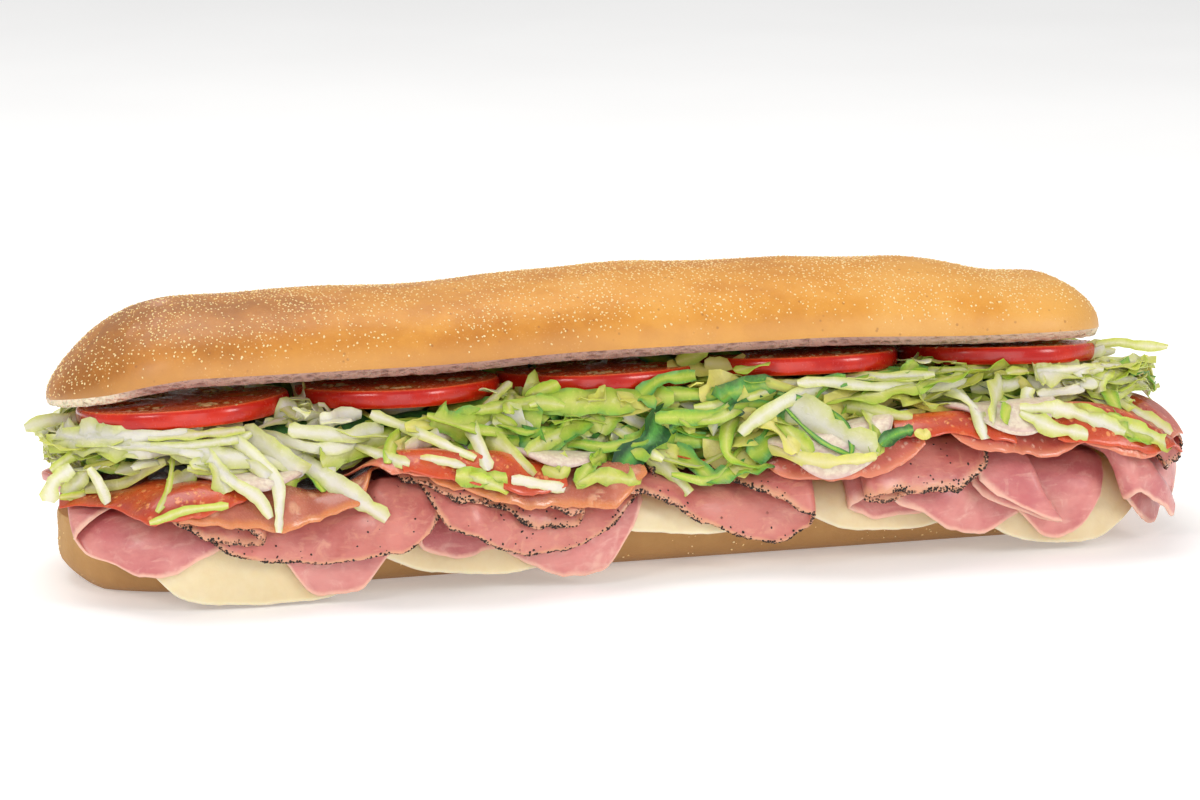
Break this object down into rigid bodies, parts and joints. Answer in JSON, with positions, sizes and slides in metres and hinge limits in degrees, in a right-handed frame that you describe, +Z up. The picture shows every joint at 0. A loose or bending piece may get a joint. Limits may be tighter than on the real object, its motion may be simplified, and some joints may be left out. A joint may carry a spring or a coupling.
{
  "type": "submarine sandwich",
  "caption": "Long bread roll split in two and filled with folded cold cuts, cheese, onion, shredded lettuce and tomato slices, with the layers draping over the front.",
  "frame": {"origin": "centre of the bottom bun's flat underside, on the table", "axes": "+X along the bun to the right of the served side, -Y towards the served side, +Z up"},
  "size_m": [0.3232, 0.1122, 0.0799],
  "materials": {
    "crust": "baked crust dusted with cornmeal",
    "cheese": "soft satin",
    "ham": "moist satin",
    "pepper_ham": "moist satin with pepper along the rim",
    "capicola": "oily",
    "salami": "oily, marbled",
    "pepperoni": "oily",
    "onion": "moist",
    "lettuce": "crisp, satin",
    "tomato": "wet cut face, glossy skin"
  },
  "bodies": {
    "root": {"bottom_bun": "crust", "cheese_1": "cheese", "cheese_2": "cheese", "cheese_3": "cheese", "cheese_4": "cheese", "cheese_5": "cheese", "ham_1": "ham", "ham_2": "ham", "ham_3": "ham", "ham_4": "ham", "ham_5": "ham", "ham_6": "ham", "ham_7": "ham", "ham_8": "ham", "pepper_ham_1": "pepper_ham", "pepper_ham_2": "pepper_ham", "pepper_ham_3": "pepper_ham", "pepper_ham_4": "pepper_ham", "pepper_ham_5": "pepper_ham", "capicola_1": "capicola", "capicola_2": "capicola", "salami_1": "salami", "salami_2": "salami", "salami_3": "salami", "salami_4": "salami", "pepperoni_1": "pepperoni", "pepperoni_2": "pepperoni", "pepperoni_3": "pepperoni", "pepperoni_4": "pepperoni", "pepperoni_5": "pepperoni", "onion_1": "onion", "onion_2": "onion", "onion_3": "onion", "onion_4": "onion", "tomato_1": "tomato", "tomato_2": "tomato", "tomato_3": "tomato", "tomato_4": "tomato", "tomato_5": "tomato", "lettuce": "lettuce", "top_bun": "crust"}
  },
  "joints": []
}
